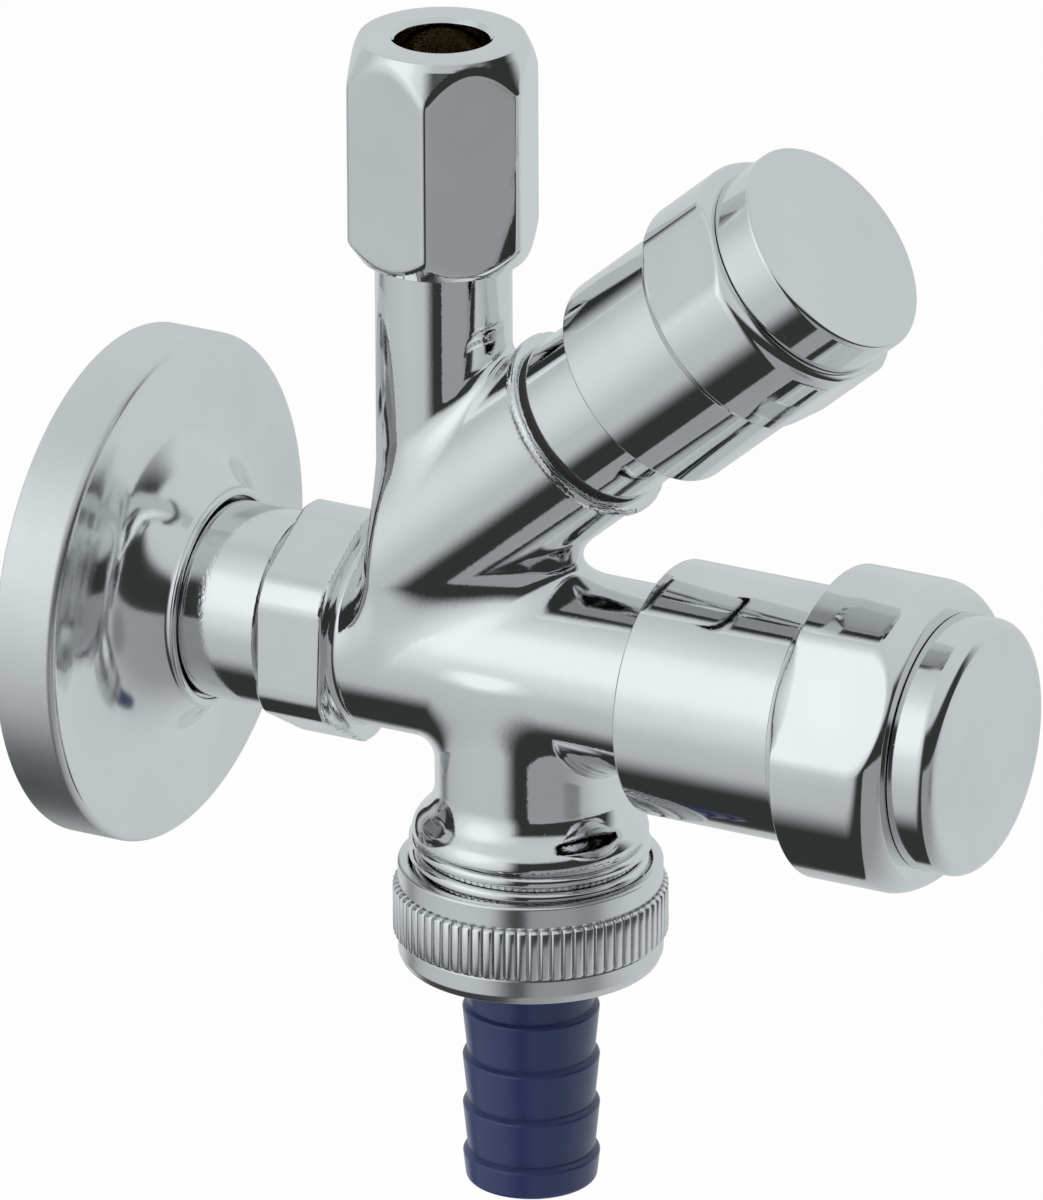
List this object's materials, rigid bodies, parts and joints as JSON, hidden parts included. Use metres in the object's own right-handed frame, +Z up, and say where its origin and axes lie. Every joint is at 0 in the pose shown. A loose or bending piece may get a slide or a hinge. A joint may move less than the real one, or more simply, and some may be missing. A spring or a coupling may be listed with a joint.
{
  "type": "angle valve",
  "caption": "Chromed wall angle valve with sliding rosette, inclined upper handle over a compression pipe outlet and a lower handle over a union with barbed hose nozzle.",
  "frame": {"origin": "on the axis of the inlet thread, in the plane of the finished wall", "axes": "+Y into the wall along the inlet thread, +Z up along the pipe outlet"},
  "size_m": [0.0566, 0.1142, 0.131],
  "materials": {
    "chrome_plate": "polished chrome plate",
    "satin_chrome": "satin chrome plate",
    "brass": "turned",
    "black_rubber": "moulded",
    "fibre": "pressed fibre",
    "spring_steel": "drawn wire",
    "white_plastic": "moulded",
    "blue_plastic": "moulded, slightly glossy"
  },
  "bodies": {
    "valve": {"check_guide": "white_plastic", "check_housing": "white_plastic", "check_housing_ring": "black_rubber", "check_spring": "spring_steel", "compression_nut": "chrome_plate", "compression_ring": "brass", "hose_nozzle": "blue_plastic", "hose_washer": "black_rubber", "lower_bonnet": "chrome_plate", "lower_bonnet_seal": "fibre", "lower_spindle_clip": "spring_steel", "union_nut": "chrome_plate", "upper_bonnet": "chrome_plate", "upper_bonnet_seal": "fibre", "upper_spindle_clip": "spring_steel", "valve_body": "chrome_plate"},
    "rosette": {"wall_rosette": "chrome_plate"},
    "poppet": {"check_poppet": "white_plastic"},
    "upper_turning": {"upper_handle": "chrome_plate", "upper_handle_screw": "spring_steel", "upper_cap": "satin_chrome", "upper_spindle": "brass", "upper_spindle_ring": "black_rubber"},
    "upper_lifting": {"upper_plunger": "brass", "upper_seat_washer": "black_rubber", "upper_washer_screw": "brass"},
    "lower_turning": {"lower_handle": "chrome_plate", "lower_handle_screw": "spring_steel", "lower_cap": "satin_chrome", "lower_spindle": "brass", "lower_spindle_ring": "black_rubber"},
    "lower_lifting": {"lower_plunger": "brass", "lower_seat_washer": "black_rubber", "lower_washer_screw": "brass"}
  },
  "joints": [
    {"name": "rosette_slide", "type": "slide", "parent": "valve", "child": "rosette", "axis": [0, -1, 0], "range_m": [0, 0.008]},
    {"name": "check_lift", "type": "slide", "parent": "valve", "child": "poppet", "axis": [0, 0, -1], "range_m": [0, 0.0025], "stiffness_N_per_m": 60, "springref_m": -0.003, "deforming": ["check_spring"]},
    {"name": "upper_handle_turn", "type": "hinge", "parent": "valve", "child": "upper_turning", "pos_m": [0, -0.02425, 0], "axis": [0, -0.7593, 0.6508], "range_deg": [0, 900]},
    {"name": "upper_plunger_lift", "type": "slide", "parent": "valve", "child": "upper_lifting", "axis": [0, -0.7593, 0.6508], "range_m": [0, 0.00313]},
    {"name": "lower_handle_turn", "type": "hinge", "parent": "valve", "child": "lower_turning", "pos_m": [0, 0, 0], "axis": [0, -1, 0], "range_deg": [0, 900]},
    {"name": "lower_plunger_lift", "type": "slide", "parent": "valve", "child": "lower_lifting", "axis": [0, -1, 0], "range_m": [0, 0.0035]}
  ],
  "couplings": [
    {"joint": "upper_plunger_lift", "follows": "upper_handle_turn", "m_per_rad": 0.00019894},
    {"joint": "lower_plunger_lift", "follows": "lower_handle_turn", "m_per_rad": 0.00022282}
  ]
}
